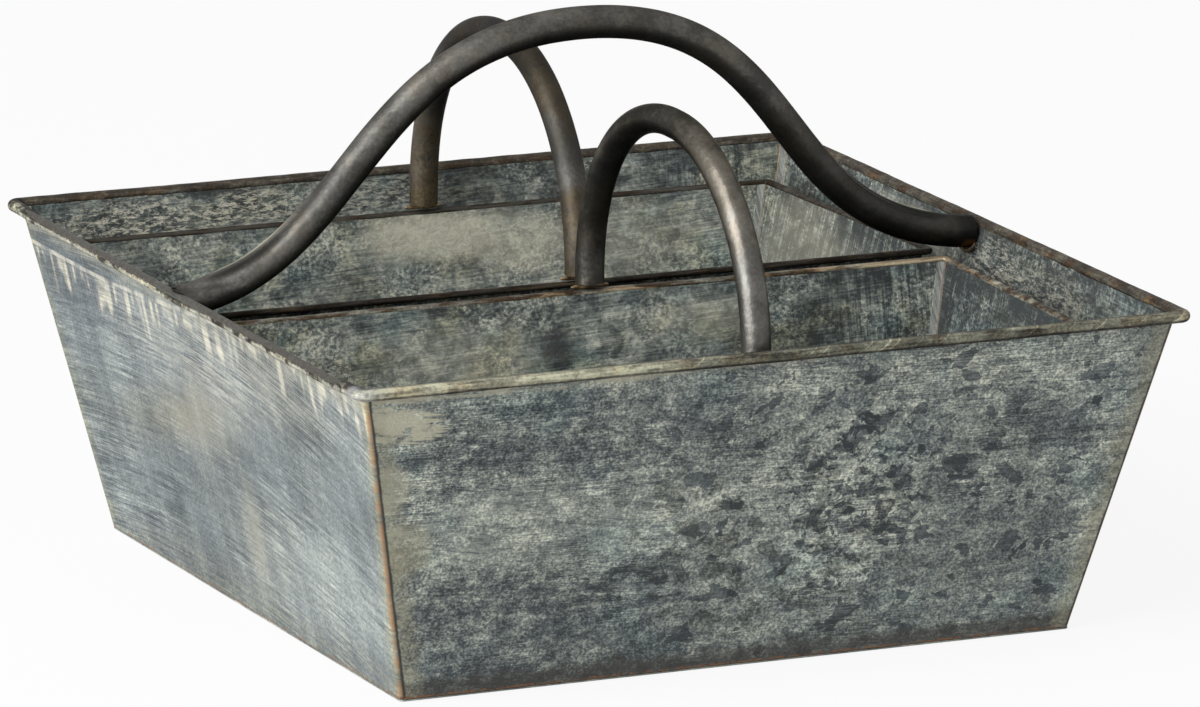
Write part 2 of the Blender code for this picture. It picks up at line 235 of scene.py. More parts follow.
class Finish:
    """A finish of the metal, built up in layers like coats on the sheet.

    u runs along the piece and v up it, in millimetres. The tone runs from 0, the darkest, to 1;
    washes are colours laid over it.
    """

    def __init__(self, name, along="X", seed=1, tone=0.5):
        self.material = bpy.data.materials.new(name)
        self.material.use_nodes = True
        self.tree = self.material.node_tree
        self.shader = self.tree.nodes["Principled BSDF"]
        place = self.add("TexCoord", {}, "Object")
        self.x, self.y, self.v = (share * (1 / MM) for share in self.shares(place))
        self.u = self.y if along == "Y" else self.x
        self.spot = self.point(self.u, self.v, seed * 17.0)
        self.solid_spot = self.point(self.x, self.y, self.v)
        self.tone = tone
        self.washes = []

    def add(self, kind, inputs, out=0, **settings):
        return add_node(self.tree, kind, inputs, out, **settings)

    def point(self, x, y, z):
        return self.add("CombineXYZ", {0: x, 1: y, 2: z})

    def shares(self, direction):
        """How far a point or a direction goes along X, Y and Z."""
        return [self.add("SeparateXYZ", {0: direction}, axis) for axis in range(3)]

    @cached_property
    def facing(self):
        """How much the surface faces along X, Y and Z."""
        return self.shares(self.add("TexCoord", {}, "Normal"))

    @cached_property
    def torn(self):
        """The grain that tears the edges of patches and bands."""
        return self.grain(9, 7, 8, 0.68)

    def placed(self, spot, at, turn, scale):
        """Where a spot lies in a frame that is moved, turned by some degrees and stretched."""
        inputs = {"Vector": spot, "Location": at, "Rotation": (0, 0, radians(turn)), "Scale": scale}
        return self.add("Mapping", inputs, vector_type="TEXTURE")

    def grain(self, wide, high, detail=4, rough=0.5, turn=0, warp=0, shift=0, spot=None):
        """Uneven spots of about the given width and height, turned by some degrees.

        detail is how many times finer spots are laid over them, and rough how strong those are.
        """
        at = (shift * 31.0, shift * 17.0, shift)
        place = self.placed(spot or self.spot, at, turn, (wide, high, wide))
        inputs = {"Vector": place, "Scale": 1, "Detail": detail, "Roughness": rough, "Distortion": warp}
        return self.add("TexNoise", inputs)

    def speckle(self, size, detail=4, rough=0.5, shift=0, spot=None):
        """Round spots right through the metal, of the same size all ways."""
        return self.grain(size, size, detail, rough, shift=shift, spot=spot or self.solid_spot)

    def patch(self, u, v, wide, high, turn=0, ragged=None, amount=0.5, soft=0.45):
        """A soft spot with half axes wide and high; its edge is torn by some amount of a grain."""
        place = self.placed(self.spot, (u, v, 0), turn, (wide, high, 1e6))
        away = self.add("VectorMath", {0: place}, "Value", operation="LENGTH")
        away = away.math("MULTIPLY_ADD", ragged or self.torn, 2 * amount, away) - amount
        return away.between(1 + soft / 2, 1 - soft)

    def tint(self, mask, amount):
        """Lighten the tone by some amount where the mask is 1, or darken it by one below 0."""
        self.tone = mask.math("MULTIPLY_ADD", mask, amount, self.tone)

    def wash(self, mask, colour):
        """Lay a colour over the tone where the mask is 1."""
        self.washes.append((mask, colour, "MIX"))

    def stain(self, mask, colour):
        """Tinge what lies below where the mask is 1, and keep its detail."""
        self.washes.append((mask, colour, "MULTIPLY"))

    def coat(self, shades, rough, metallic, relief=None, depth=1.0):
        """Turn the tone into colours, set the gloss and press the relief into the surface."""
        colour = self.add("ValToRGB", {0: self.tone})
        stops = colour.socket.node.color_ramp.elements
        for stop, (place, shade) in zip((stops[0], stops[1]), (shades[0], shades[-1])):
            stop.position, stop.color = place, (*shade, 1)
        for place, shade in shades[1:-1]:
            stops.new(place).color = (*shade, 1)
        for mask, wash, way in self.washes:
            inputs = {0: mask, 6: colour, 7: (*wash, 1)}
            colour = self.add("Mix", inputs, 2, data_type="RGBA", blend_type=way)
        gloss = self.add("MapRange", {"Value": self.tone, "To Min": rough[0], "To Max": rough[1]})
        feed(self.shader, {"Base Color": colour, "Roughness": gloss, "Metallic": metallic})
        if relief:
            inputs = {"Height": relief, "Strength": 1.0, "Distance": depth * MM}
            feed(self.shader, {"Normal": self.add("Bump", inputs)})
        return self.material


def dress(piece, body, node, slot, *materials):
    """Put the finishes on a piece, hang it on its body and let it stand for its CAD node."""
    for material in materials:
        piece.data.materials.append(material)
    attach(piece, body)
    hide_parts(node)
    return piece


ZINC_SHADES = (
    (0.00, (0.018, 0.023, 0.026)),
    (0.25, (0.052, 0.064, 0.067)),
    (0.50, (0.135, 0.152, 0.143)),
    (0.75, (0.282, 0.304, 0.262)),
    (1.00, (0.57, 0.583, 0.485)),
)
CREAM_TINGE = (1.00, 0.955, 0.77)
TAN_TINGE = (1.00, 0.93, 0.70)
SLATE_TINGE = (0.86, 0.955, 1.00)
# soot in the joints, also used for the painted shadow under the roll
SOOT_AND_SHADOW = (0.022, 0.021, 0.018)
RUST = (0.15, 0.07, 0.03)
FOLD_RUST = (0.27, 0.16, 0.085)
# the walls as the finishes see them, in millimetres: their height, half the length of their foot,
# and how far they lean out for each millimetre up
BASKET_TALL = 128
LONG_HALF = 140.15
END_HALF = 140.75
FLARE = 28.5 / BASKET_TALL


def age(coat, turn=0, flaked=1.0, sanded=1.0, brushed=1.0, calm=0.0):
    """The patina of a sheet: mottles, bare dark flakes, a sandy crust and brush marks.

    calm is a mask of where the crust is rubbed smooth, and turn the way of the brush in degrees.
    """
    lively = 1 - calm * 0.85
    grainy = 1 - calm * 0.30
    coat.fleck = coat.grain(2.3, 1.8, 5, 0.7, shift=7).between(0.34, 0.66)
    coat.sand = coat.grain(0.95, 0.85, 2.5, 0.55, shift=8).between(0.32, 0.68)
    mottle = coat.grain(17, 12, 9, 0.70, shift=1).between(0.36, 0.64)
    flake = coat.grain(14, 10, 5, 0.58, warp=0.3, shift=2)
    crust = coat.grain(10, 8, 4.5, 0.55, warp=1.0, shift=3)
    bare = flake.between(0.575, 0.59)
    coat.flakes = bare * lively
    lips = flake.between(0.545, 0.575) * (1 - bare) * lively
    coat.crust = crust.between(0.54, 0.556) * lively
    fine = coat.grain(13, 0.5, 4, 0.65, turn=turn, shift=5).between(0.32, 0.68)
    broad = coat.grain(40, 2.4, 6, 0.7, turn=turn, shift=6).between(0.34, 0.66)
    zones = coat.grain(45, 30, 4, 0.6, shift=9).between(0.42, 0.60)
    smooth = (1 - bare * 0.55) * grainy
    coat.tint(coat.grain(65, 42, 2) - 0.5, 0.30)
    coat.tint(mottle - 0.5, 0.24)
    coat.tint(coat.flakes, -0.30 * flaked)
    coat.tint(lips, 0.10 * flaked)
    coat.tint(coat.crust, 0.08 * flaked)
    coat.tint((coat.sand - 0.5) * smooth, 0.46 * sanded)
    coat.tint((coat.fleck - 0.5) * smooth, 0.20 * sanded)
    coat.tint((fine - 0.5) * (zones + 0.45), 0.26 * brushed)
    coat.tint((broad - 0.5) * (zones + 0.30), 0.18 * brushed)
    blue = coat.grain(38, 26, 5, 0.6, shift=11).between(0.46, 0.64)
    coat.stain(blue * 0.7, SLATE_TINGE)
    height = (coat.sand + coat.fleck) * (0.10 * sanded)
    coat.height = height + (coat.crust - coat.flakes) * (0.22 * flaked)


front_wall = flat_wall("front_wall", "basket_front_wall", (0, -1, 0), BASKET_SHEET, WALL_CELL, blistered)
coat = Finish("front_wall_zinc", "X", 1, 0.545)
left = coat.u.between(-12, -62)
age(coat, turn=-1, sanded=0.85, calm=left)
torn = coat.torn
coat.tint(coat.patch(-78, 103, 66, 17), -0.16)
beige = coat.patch(-80, 68, 80, 20)
coat.tint(beige, 0.12)
scaly = coat.grain(7, 5, 9, 0.75, warp=0.3, shift=19).between(0.38, 0.62)
rougher = left * (1 - beige * 0.7)
coat.tint((scaly - 0.5) * (rougher + 0.3), 0.26)
coat.tint((coat.sand - 0.5) * (rougher + 0.1), 0.16)
coat.tint(coat.patch(-85, 26, 80, 26), -0.16)
coat.tint(coat.patch(100, 34, 70, 34, soft=0.9), -0.08)
stroke = coat.grain(15, 0.8, 4, 0.65, turn=-11, shift=12).between(0.56, 0.70)
coat.tint(stroke * coat.patch(-105, 72, 62, 36), -0.30)
level = coat.grain(22, 0.9, 4, 0.6, shift=13).between(0.54, 0.66)
coat.tint(level * coat.patch(120, 104, 60, 26), -0.26)
blotch = coat.grain(19, 14, 4, 0.5, warp=0.9, shift=4).between(0.53, 0.545)
blotches = blotch * coat.patch(115, 80, 70, 34)
coat.tint(blotches, -0.20)
dabs = coat.grain(13, 10, 2.5, 0.5, warp=0.7, shift=17).between(0.55, 0.568)
dabs = dabs * (coat.patch(-5, 48, 85, 52, soft=0.8) * 0.85 + 0.15)
coat.tint(dabs, -0.23)
coat.stain(dabs, (1.00, 0.97, 0.90))
blister = coat.patch(42, 70, 34, 46, amount=0.6)
pits = coat.grain(7.5, 5.5, 3.5, 0.55, warp=1.1).between(0.52, 0.545)
pitted = pits * blister
coat.tint(pitted, -0.26)
coat.tint(blister - pitted, 0.12)
# the wall darkens towards its foot
coat.tint((coat.v + torn * 24).between(24, 12), -0.30)
dark_foot_band = (coat.v + torn * 14).between(17, 12)
coat.wash(dark_foot_band * 0.62, (0.034, 0.029, 0.022))
streak = coat.grain(30, 2.0, 6, 0.7, shift=5).between(0.38, 0.50)
under_rim = coat.patch(-130, 128, 165, 5, soft=0.3)
strokes = coat.grain(30, 1.5, 5, 0.62, turn=-5, shift=15)
dab = coat.patch(-153, 114, 16, 8, turn=-12, ragged=strokes, amount=1.3, soft=0.25)
dab = dab * torn.between(0.36, 0.50)
cream = dab.math("MAXIMUM", under_rim * streak, dab)
coat.wash(cream * 0.85, (0.40, 0.385, 0.29))
# a dark line right under the roll: painted shadow of the roll, with soot at the joint
coat.wash((coat.v + coat.fleck * 0.7).between(125.4, 126.0) * 0.8, SOOT_AND_SHADOW)
coat.wash(coat.patch(-148, 62, 13, 12, soft=0.35) * 0.40, (0.26, 0.24, 0.15))
coat.wash(coat.patch(-156, 88, 9, 10, soft=0.3) * 0.50, (0.34, 0.325, 0.24))
coat.tint(coat.patch(150, 60, 16, 60), 0.10)
coat.tint(coat.patch(112, 112, 60, 16), 0.08)
side_gap = LONG_HALF + coat.v * FLARE - abs(coat.u)
side = (side_gap + torn * 18).between(19, 12)
worn = coat.sand * 0.40 + scaly * 0.30
coat.wash(side * (worn + 0.12), (0.25, 0.24, 0.165))
coat.wash((side_gap + torn * 1.6).between(1.9, 1.1), SOOT_AND_SHADOW)
coat.wash((coat.v + coat.fleck * 1.4).between(2.6, 1.8), RUST)
height = coat.height - pitted * 0.55 - (blotches + dabs) * 0.20
front_zinc = coat.coat(ZINC_SHADES, (0.60, 0.44), 0.25, height)

INSIDE_SHADES = (
    (0.00, (0.02, 0.024, 0.024)),
    (0.25, (0.062, 0.073, 0.07)),
    (0.50, (0.165, 0.182, 0.162)),
    (0.75, (0.35, 0.36, 0.305)),
    (1.00, (0.64, 0.62, 0.50)),
)
INSIDE_CREAM = (0.43, 0.41, 0.32)


def inside_zinc(name, along, seed, tall, cream=(), dark=(), dry=(), smear=None, tone=0.50, tan=0.4):
    """The dull inner face of a sheet: marbled, with round dark spots, light scratches and smears.

    cream, dark and dry, where a dry brush left crisp marks, are patches (u, v, half width, half
    height, amount). smear gives where the sheet was wiped up and down: from one u to another, and
    how strongly. tall is its height in millimetres, and tan how yellowed it is.
    """
    coat = Finish(name, along, seed, tone)
    flange = abs(coat.facing[1]).between(0.6, 0.9)
    if along == "Y":
        coat.u = coat.u + flange * coat.x
        coat.spot = coat.point(coat.u, coat.v, seed * 17.0)
    torn = coat.torn
    marble = coat.grain(9, 6.5, 10, 0.72, warp=0.5, shift=1).between(0.36, 0.64)
    spots = coat.grain(15, 13, 2, 0.4, warp=0.3, shift=3).between(0.57, 0.63)
    crumbs = coat.grain(1.5, 1.3, 3, 0.6, shift=8).between(0.34, 0.66)
    zones = coat.grain(34, 24, 4, 0.6, shift=9).between(0.42, 0.58)
    scratch = abs(coat.grain(8, 5, 8, 0.70, warp=0.6, shift=4) - 0.5).between(0.02, 0)
    brushed = coat.grain(15, 0.7, 4, 0.65, turn=3, shift=5).between(0.32, 0.68)
    coat.tint(coat.grain(60, 40, 3, shift=2) - 0.5, 0.40)
    coat.tint(marble - 0.5, 0.36)
    coat.tint(spots, -0.17)
    coat.tint((crumbs - 0.5) * (zones + 0.6), 0.27)
    coat.tint(scratch * (zones + 0.2), 0.26)
    coat.tint((brushed - 0.5) * (1.3 - zones), 0.24)
    if smear:
        wiped = (coat.u + torn * 14).between(smear[0], smear[1])
        streak = coat.grain(3.0, 44, 5, 0.62, shift=6).between(0.38, 0.62)
        thin = coat.grain(0.7, 16, 3, 0.6, shift=7).between(0.36, 0.64)
        both = (streak - 0.5) * 0.6 + (thin - 0.5) * 0.8
        coat.tint(both * wiped, 0.36 * smear[2])
    for u, v, wide, high, amount in dark:
        coat.tint(coat.patch(u, v, wide, high, soft=0.6), -0.22 * amount)
    coat.stain(coat.grain(30, 22, 4, 0.6, shift=11).between(0.48, 0.62), SLATE_TINGE)
    tanned = coat.grain(26, 20, 4, 0.6, shift=12).between(0.50, 0.62)
    coat.stain(tanned * tan, TAN_TINGE)
    for u, v, wide, high, amount in cream:
        pale = coat.patch(u, v, wide, high, soft=0.55) * (marble * 0.35 + 0.65)
        coat.wash(pale * (0.72 * amount), INSIDE_CREAM)
    for u, v, wide, high, amount in dry:
        worked = coat.patch(u, v, wide, high, soft=0.6)
        mark = coat.grain(4.2, 1.3, 9, 0.80, warp=0.4, shift=13).between(0.49, 0.56)
        coat.tint(worked * (1 - mark), -0.26 * amount)
        coat.wash(worked * mark * (0.85 * amount), (0.50, 0.48, 0.385))
    if along == "Y":
        lapped = coat.grain(1.2, 30, 4, 0.6, shift=14).between(0.36, 0.60)
        coat.wash(flange * (lapped * 0.5 + 0.3), (0.40, 0.41, 0.38))
        folded = abs(abs(coat.facing[1]) - 0.45).between(0.22, 0.12)
        coat.wash(folded * (crumbs * 0.4 + 0.4), (0.20, 0.11, 0.055))
    coat.tint((tall - coat.v + torn * 6).between(9, 3), -0.12)
    height = crumbs * 0.06 + marble * 0.10
    return coat.coat(INSIDE_SHADES, (0.64, 0.48), 0.25, height)


dress(front_wall, "basket", "basket_front_wall", "zinc_sheet", front_zinc,
      inside_zinc("front_wall_inside", "X", 11, BASKET_TALL))

back_wall = flat_wall("back_wall", "basket_back_wall", (0, 1, 0), BASKET_SHEET, WALL_CELL, dents(2))
coat = Finish("back_wall_zinc", "X", 2, 0.50)
age(coat)
coat.tint((coat.v + coat.torn * 18).between(21, 8), -0.34)
side_gap = LONG_HALF + coat.v * FLARE - abs(coat.u)
side = (side_gap + coat.torn * 16).between(24, 9)
coat.stain(side, TAN_TINGE)
coat.wash((side_gap + coat.fleck * 1.6).between(2.4, 1.0), SOOT_AND_SHADOW)
coat.wash((coat.v + coat.fleck).between(2.6, 1.8), RUST)
back_zinc = coat.coat(ZINC_SHADES, (0.60, 0.44), 0.25, coat.height)
dress(back_wall, "basket", "basket_back_wall", "zinc_sheet", back_zinc,
      inside_zinc("back_wall_inside", "X", 12, BASKET_TALL,
                  dark=((20, 122, 30, 10, 0.6), (118, 118, 20, 14, 0.5), (-86, 130, 26, 6, 1.2)),
                  dry=((-124, 118, 44, 9, 1.0), (-72, 120, 22, 8, 0.8), (-20, 120, 50, 9, 0.5)),
                  smear=(96, 130, 0.5), tone=0.45))

# End walls of the basket
# The same sheet with both upright edges folded round the corner into a narrow flange, which the
# long walls cover. The left one faces the light and is brushed paler, with cream drips at the top.
FOLD_RADIUS = 1.5 * MM
FOLD_FLANGE = 4.0 * MM
FOLD_STEPS = 5


def folded_line(corners, outward):
    """A foot or top line carried round the fold at both ends and into the flanges."""
    inward = -Vector(outward)
    first, last = corners
    along = (last - first).normalized()
    bend = []
    for step in range(1, FOLD_STEPS + 1):
        turn = pi / 2 * step / FOLD_STEPS
        bend.append((FOLD_RADIUS * (1 - cos(turn)), FOLD_RADIUS * sin(turn)))
    bend.append((FOLD_FLANGE, FOLD_RADIUS))
    near = [first + inward * a - along * b for a, b in bend]
    far = [last + inward * a + along * b for a, b in bend]
    return near[::-1] + [first, last] + far


def end_wall(name, node, outward, thickness, cell, relief):
    """An end wall with its folds and flanges."""
    foot, top = foot_and_top(node, outward)
    return sheet(name, folded_line(foot, outward), folded_line(top, outward), thickness, cell, relief)


left_wall = end_wall("left_wall", "basket_left_end_wall", (-1, 0, 0), BASKET_SHEET, WALL_CELL, dents(3))
coat = Finish("left_wall_zinc", "Y", 3, 0.435)
# the brush swept in wide arcs, so the marks are laid out on a bent line
bent_v = coat.v + coat.u * coat.u * 0.0006 - coat.u * 0.05
place = coat.point(coat.u, bent_v, 51.0)
torn = coat.torn
fleck = coat.grain(1.9, 1.4, 4, 0.65, shift=7).between(0.34, 0.66)
hair = coat.grain(18, 0.45, 4, 0.65, shift=5, spot=place).between(0.32, 0.68)
band = coat.grain(60, 1.7, 6, 0.72, shift=6, spot=place).between(0.34, 0.66)
cloud = coat.grain(75, 50, 3, 0.5, shift=2)
zones = coat.grain(45, 30, 4, 0.6, shift=9).between(0.40, 0.62)
coat.tint(cloud - 0.5, 0.60)
coat.tint(coat.grain(20, 12, 6, 0.62, shift=1).between(0.36, 0.64) - 0.5, 0.07)
coat.tint((hair - 0.5) * (zones + 0.5), 0.27)
coat.tint((band - 0.5) * (zones + 0.4), 0.19)
smudge = coat.grain(9, 60, 4, 0.6, turn=-8, shift=17).between(0.36, 0.64)
coat.tint(smudge - 0.5, 0.10)
coat.tint(fleck - 0.5, 0.18)
coat.stain(cloud.between(0.36, 0.56), (0.90, 0.925, 1.00))
coat.tint(coat.patch(64, 34, 22, 11, turn=-10, soft=0.9), -0.10)
coat.tint(coat.patch(-70, 34, 70, 26, turn=-10, soft=0.8), 0.14)
coat.tint(coat.patch(120, 112, 70, 24, soft=0.9), -0.22)
coat.wash(coat.patch(8, 78, 44, 15, turn=-14, soft=0.9) * 0.28, (0.40, 0.37, 0.28))
coat.wash(coat.patch(-22, 34, 10, 26, turn=8, soft=0.9) * 0.24, (0.40, 0.37, 0.28))
tan_arc = coat.patch(62, 66, 46, 13, turn=-12, soft=0.9)
coat.stain(tan_arc, (1.00, 0.93, 0.80))
coat.tint(tan_arc, -0.04)
depth = 126 - coat.v
wander = coat.grain(22, 1e4, 3, shift=14)
place = coat.u * 0.1 + wander * 4.0
gap = abs(place.math("FRACT", place) - 0.5)
start = coat.u.between(-60, 110) * 9 + 3
below = depth - start
longest = coat.grain(17, 1e4, 2, shift=15).between(0.36, 0.62) * 12
faded = coat.grain(26, 12, 4, 0.6, shift=18).between(0.36, 0.58)
ending = (below + torn * 8 - longest).between(10, 4) * below.between(-2, 2)
ending = ending * (hair * 0.5 + 0.5) * (faded * 0.7 + 0.3)
drip = (gap + torn * 0.20).between(0.42, 0.18) * ending
beside = abs(gap - 0.36).between(0.10, 0.02) * ending
splash = (depth + torn * 22).between(25, 10)
coat.tint(splash * band.between(0.2, 0.7), 0.06)
coat.stain(splash, (1.00, 0.97, 0.86))
creamy = coat.patch(-30, 106, 110, 17, turn=-4, soft=0.9) * hair.between(0.25, 0.75)
coat.wash(creamy * 0.30, (0.50, 0.47, 0.37))
hung = abs(below + 1).between(1.3, 0.5)
coat.wash(hung * smudge * 0.5, (0.60, 0.57, 0.48))
under_rim = (depth + torn * 10).between(13, 6) * (hair * 0.4 + 0.2)
coat.wash(under_rim * 0.7, (0.44, 0.42, 0.34))
coat.wash(beside * 0.45, (0.25, 0.23, 0.22))
coat.wash(drip * 0.70, (0.62, 0.58, 0.45))
foot_cream = (coat.v + torn * 24).between(30, 16) * band
coat.stain(foot_cream, (1.00, 0.94, 0.80))
side_gap = END_HALF + coat.v * FLARE - abs(coat.u)
side = (side_gap + torn * 14).between(17, 7)
coat.tint(side, 0.08)
coat.stain(side, CREAM_TINGE)
worn = coat.grain(9, 6, 5, 0.6, shift=16).between(0.36, 0.56)
coat.wash((side_gap + fleck).between(2.2, 1.0) * worn * 0.8, FOLD_RUST)
coat.wash((coat.v + fleck).between(2.6, 1.4) * worn, RUST)
left_zinc = coat.coat(ZINC_SHADES, (0.60, 0.44), 0.25, hair * 0.03 + fleck * 0.05)
dress(left_wall, "basket", "basket_left_end_wall", "zinc_sheet", left_zinc,
      inside_zinc("left_wall_inside", "Y", 13, BASKET_TALL))

right_wall = end_wall("right_wall", "basket_right_end_wall", (1, 0, 0), BASKET_SHEET, WALL_CELL, dents(4))
coat = Finish("right_wall_zinc", "Y", 4, 0.58)
age(coat, turn=-6, flaked=0.6, sanded=0.7, brushed=1.4)
side_gap = END_HALF + coat.v * FLARE - abs(coat.u)
coat.stain((side_gap + coat.torn * 14).between(20, 7), TAN_TINGE)
coat.wash((side_gap + coat.fleck * 1.4).between(2.8, 1.6), FOLD_RUST)
coat.wash((coat.v + coat.fleck).between(3.2, 2.2), RUST)
right_zinc = coat.coat(ZINC_SHADES, (0.60, 0.44), 0.25, coat.height)
dress(right_wall, "basket", "basket_right_end_wall", "zinc_sheet", right_zinc,
      inside_zinc("right_wall_inside", "Y", 14, BASKET_TALL, cream=((60, 117, 50, 9, 0.5),),
                  # the dark patch at u 0, v 125 is the painted shadow of the main handle's end on this wall
                  dark=((130, 116, 16, 12, 0.8), (0, 125, 8, 8, 2.0), (-80, 120, 24, 8, 1.0)),
                  dry=((-22, 117, 24, 10, 0.5), (-70, 114, 40, 12, 0.35)),
                  smear=(-200, -190, 0.5), tone=0.275))

# Bottom of the basket
# A flat square of the same sheet, soldered under the walls, with small rounded corners.
# It lies in the dark under the boxes and shows a dull grey with handling scratches.
BOTTOM_CELL = 6 * MM
BOTTOM_CORNER = 2 * MM
BOTTOM_DENT = 0.12 * MM
CORNER_STEPS = 5


def bottom_sheet(name, node, thickness, corner_radius, seed):
    """A flat sheet with rounded corners, in the place of a CAD bottom, with its top face dented."""
    low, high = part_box(node)
    turns = [pi / 2 * step / CORNER_STEPS for step in range(CORNER_STEPS + 1)]
    arc = [(corner_radius * (1 - cos(turn)), corner_radius * (1 - sin(turn))) for turn in turns]
    ends = [(low.x + step, cut) for step, cut in arc] + [(high.x - step, cut) for step, cut in arc[::-1]]
    near = [Vector((x, low.y + cut, high.z)) for x, cut in ends]
    far = [Vector((x, high.y - cut, high.z)) for x, cut in ends]

    def sunk(spot):
        return -BOTTOM_DENT * abs(noise.noise(spot / DENT_SIZE + Vector((seed, 0, 0))))
    return sheet(name, near, far, thickness - BOTTOM_DENT / 2, BOTTOM_CELL, sunk)


def bottom_zinc(name, seed):
    """Dull grey sheet with scratches both ways and a stain or two."""
    coat = Finish(name, "X", seed, 0.45)
    place = coat.solid_spot
    fleck = coat.grain(2.4, 2.0, 6, 0.7, spot=place)
    coat.tint(coat.grain(60, 45, 3, spot=place) - 0.5, 0.35)
    coat.tint(coat.grain(18, 15, 9, 0.66, shift=1, spot=place).between(0.36, 0.64) - 0.5, 0.22)
    coat.tint(fleck - 0.5, 0.50)
    coat.tint(coat.grain(26, 0.9, 4, 0.6, turn=8, spot=place) - 0.5, 0.22)
    coat.tint(coat.grain(0.9, 26, 4, 0.6, turn=-5, spot=place) - 0.5, 0.18)
    return coat.coat(INSIDE_SHADES, (0.66, 0.50), 0.25, fleck, 0.2)


bottom = bottom_sheet("bottom", "basket_bottom", BASKET_SHEET, BOTTOM_CORNER, 5)
dress(bottom, "basket", "basket_bottom", "zinc_sheet",
      bottom_zinc("bottom_zinc", 5), bottom_zinc("underside_zinc", 6))

# Rims of the basket and of the boxes
# The top edge of the walls, rolled outward round a wire: a thin lip comes up from the inner face
# and closes into a roll. The rolls are uneven from the hand tools, and rusty or creamy in places.
RIM_CELL = 2.5 * MM
ROLL_STEPS = 18
LIP_STEPS = 8
RIM_CORNER_STEPS = 8
ROLL_WAVE = 0.22 * MM
ROLL_WAVE_SIZE = 60 * MM
ROLL_LUMP_SHARE = 0.055
ROLL_LUMP_SIZE = 9 * MM
ROLL_SWAY_SHARE = 0.6
LIP_DROP_SHARE = 0.3


def rounded_path(corners, radius, cell):
    """A closed line through four corners, each turned with an arc, in cells of even length."""
    path = []
    for index, corner in enumerate(corners):
        back = (corners[index - 1] - corner).normalized()
        onward = (corners[(index + 1) % 4] - corner).normalized()
        centre = corner + radius * (back + onward)
        for step in range(RIM_CORNER_STEPS + 1):
            turn = pi / 2 * step / RIM_CORNER_STEPS
            path.append(centre - radius * (onward * cos(turn) + back * sin(turn)))
        nxt = corners[(index + 1) % 4]
        start, end = path[-1], nxt - onward * radius
        count = ceil((end - start).length / cell)
        path += [start.lerp(end, i / count) for i in range(1, count)]
    return path


def level_side(along):
    """The level direction to the side of a path."""
    return along.cross(Vector((0, 0, 1))).normalized()


def swept(name, path, section, side_of=level_side, closed=True, capped=()):
    """A surface that carries a section along a path.

    side_of gives the section's first direction where the path runs along some way, and capped names
    the ends that are closed off, "start" or "end".
    """
    spots, faces = [], []
    count, around = len(path), len(section(0))
    for index, place in enumerate(path):
        before, after = index - 1, (index + 1) % count
        if not closed:
            before, after = max(before, 0), min(index + 1, count - 1)
        along = (path[after] - path[before]).normalized()
        side = side_of(along)
        up = side.cross(along)
        spots += [place + side * a + up * b for a, b in section(index)]
    for index in range(count if closed else count - 1):
        here, there = index * around, (index + 1) % count * around
        for step in range(around):
            turn = (step + 1) % around
            faces.append((here + turn, here + step, there + step, there + turn))
    for end in capped:
        ring = list(range(around))
        if end == "end":
            ring = [(count - 1) * around + step for step in ring[::-1]]
        spots.append(sum((spots[i] for i in ring), Vector()) / around)
        faces += [(a, b, len(spots) - 1) for a, b in zip(ring, ring[1:] + ring[:1])]
    return mesh_object(name, spots, faces)


def rim(name, node, radius, roll_sheet, lip, corner_radius, tops, seed, slim=None):
    """A rolled rim. lip is how far its inner face lies from its centre; tops are its heights.

    slim gives, for a spot, how much tighter the roll is there and how far it has sunk.
    """
    low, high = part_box(node)
    near_z, far_z = tops
    corners = [
        Vector((low.x + radius, low.y + radius, near_z)),
        Vector((high.x - radius, low.y + radius, near_z)),
        Vector((high.x - radius, high.y - radius, far_z)),
        Vector((low.x + radius, high.y - radius, far_z)),
    ]
    path = rounded_path(corners, corner_radius, RIM_CELL)
    shift = Vector((seed * 3.7, seed * 1.9, 0))

    def section(index):
        spot = path[index]
        share, sunk = slim(spot) if slim else (1, 0)
        roll = radius * share
        points = []
        sway = ROLL_WAVE * noise.noise(spot / ROLL_WAVE_SIZE + shift) - (radius - roll) * ROLL_SWAY_SHARE
        lift = ROLL_WAVE * noise.noise(spot / ROLL_WAVE_SIZE - shift) - sunk
        for step in range(ROLL_STEPS + 1):
            turn = radians(-90 + 270 * step / ROLL_STEPS)
            reach = roll if turn < pi / 2 else lip
            here = spot + Vector((0, 0, turn * radius * 2))
            lump = 1 - ROLL_LUMP_SHARE * (0.5 + noise.noise(here / ROLL_LUMP_SIZE + shift))
            points.append((reach * lump * cos(turn) + sway, roll * lump * sin(turn) + lift))
        points.append((-lip, -LIP_DROP_SHARE * radius))
        points.append((-lip + roll_sheet, -LIP_DROP_SHARE * radius))
        for step in range(LIP_STEPS + 1):
            turn = radians(180 - 270 * step / LIP_STEPS)
            reach = (roll if turn < pi / 2 else lip) - roll_sheet
            points.append((reach * cos(turn) + sway, (roll - roll_sheet) * sin(turn) + lift))
        return points
    return swept(name, path, section)


SLIM_SHARE = 0.78
SLIM_SINK = 1.4 * MM
DENTED_SHARE = 0.58
DENTED_CENTRE = 4 * MM
DENTED_REACH = 34 * MM
DENTED_SINK = 1.3 * MM
SLIM_START, SLIM_FULL = 166 * MM, 140 * MM
LEFT_RIM_START, LEFT_RIM_FULL = -170 * MM, -172.5 * MM


def left_slim(spot):
    """Along the left wall the roll is tighter and lower, most of all beside the handle's foot."""
    on_left = blend(LEFT_RIM_START, LEFT_RIM_FULL, spot.x) * blend(SLIM_START, SLIM_FULL, abs(spot.y))
    dent = blend(DENTED_REACH, 0, abs(spot.y - DENTED_CENTRE))
    share = 1 - on_left * (1 - SLIM_SHARE + (SLIM_SHARE - DENTED_SHARE) * dent)
    return share, on_left * (SLIM_SINK + DENTED_SINK * dent)


